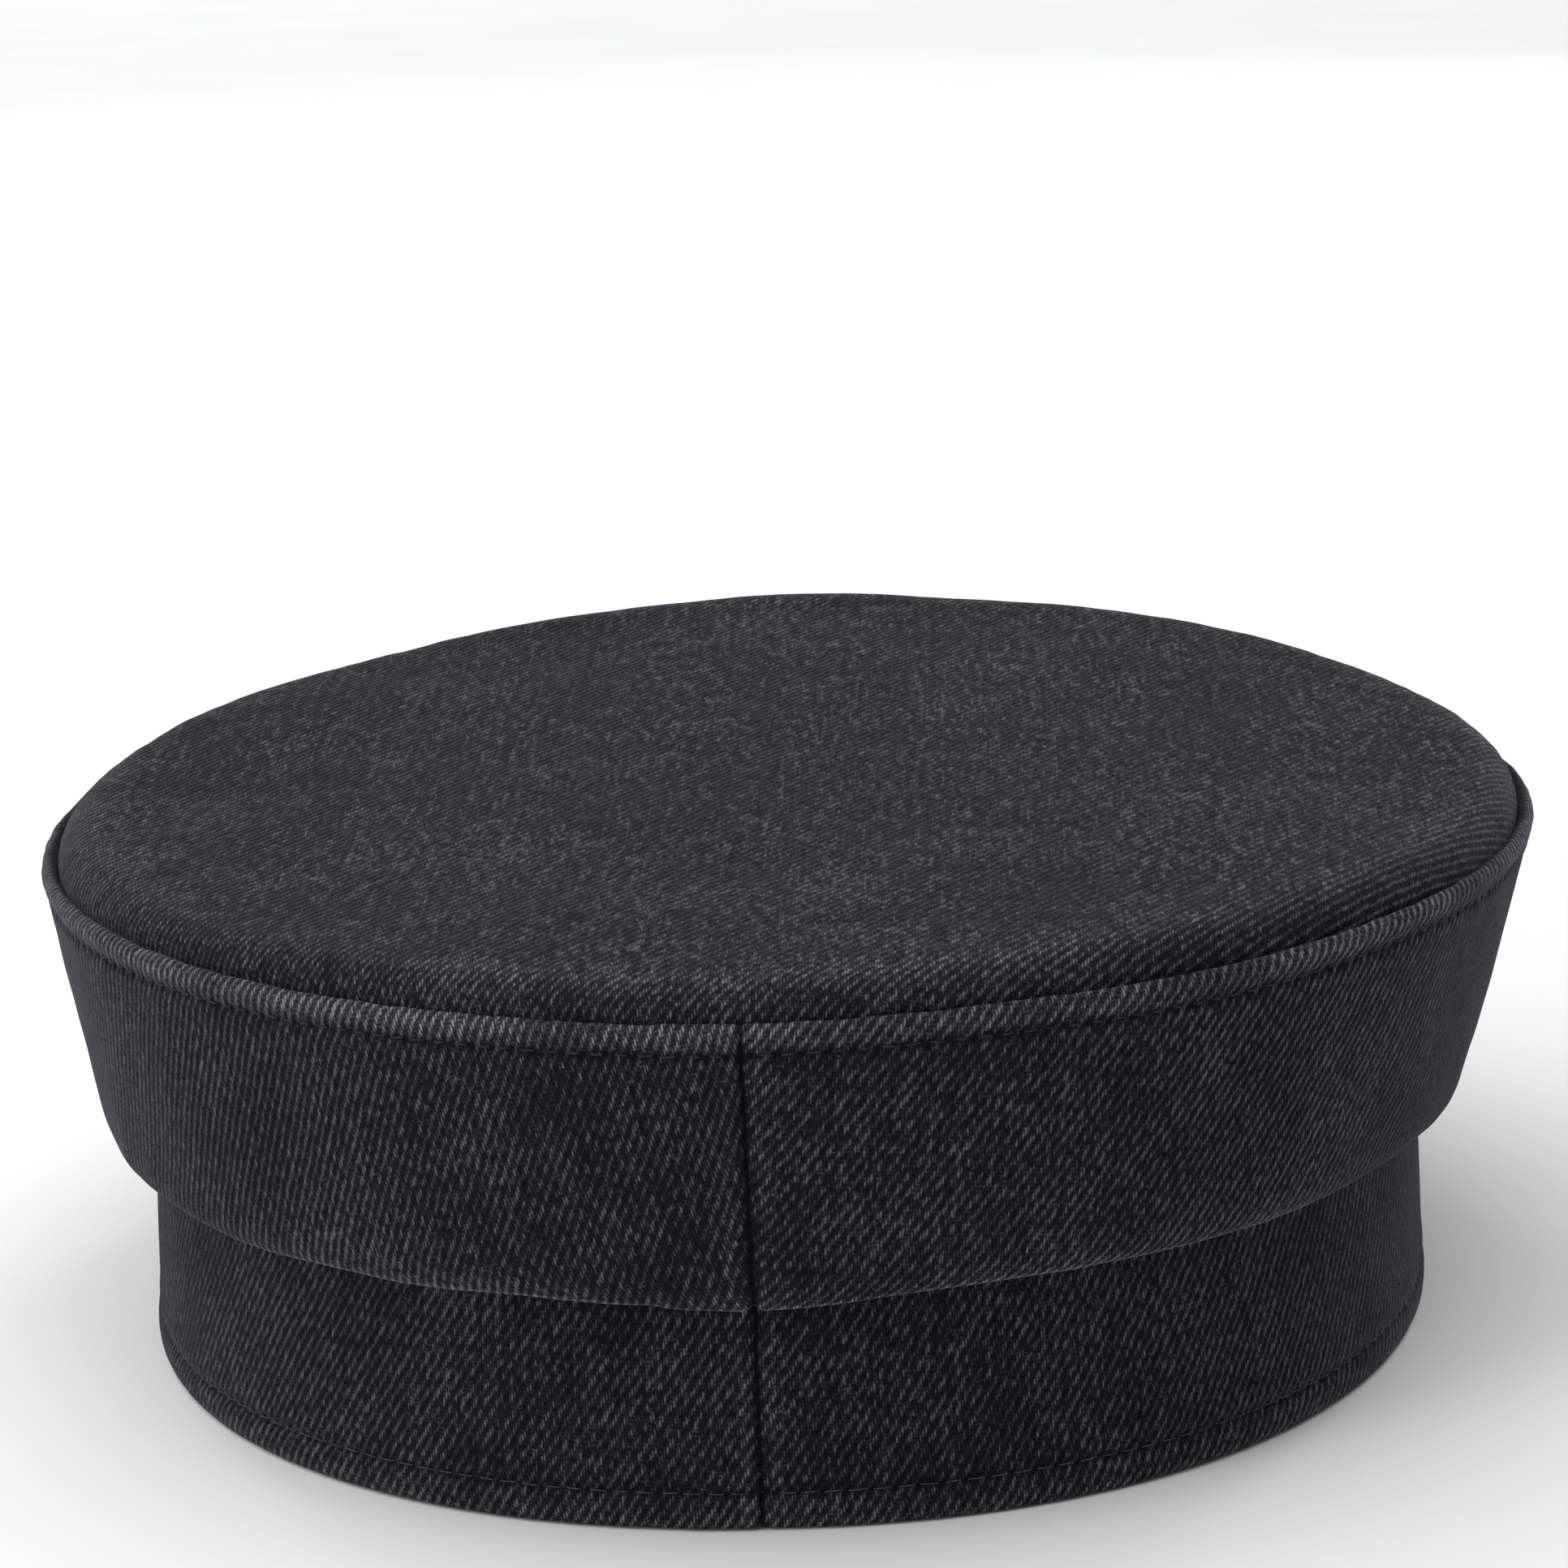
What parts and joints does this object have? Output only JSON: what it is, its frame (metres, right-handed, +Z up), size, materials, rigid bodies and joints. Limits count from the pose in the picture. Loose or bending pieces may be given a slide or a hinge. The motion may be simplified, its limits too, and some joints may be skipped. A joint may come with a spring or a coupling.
{
  "type": "baker boy cap",
  "caption": "Baker boy cap in black denim with a puffed oval top, a flaring side band folded over the head band, and a short curved peak.",
  "frame": {"origin": "middle of the cap's whole width and length, peak included, on the plane of the head band's rim", "axes": "+Z up through the crown, -Y forward through the peak, +Y back through the seams"},
  "size_m": [0.2108, 0.2502, 0.0778],
  "materials": {
    "crown_top": "washed black denim, matt, right-hand twill",
    "side_band": "washed black denim, matt, right-hand twill",
    "head_band": "washed black denim, matt, right-hand twill",
    "peak": "washed black denim over a stiff board, matt"
  },
  "bodies": {
    "root": {"crown_top": "crown_top", "side_band": "side_band", "head_band": "head_band", "peak": "peak"}
  },
  "joints": []
}
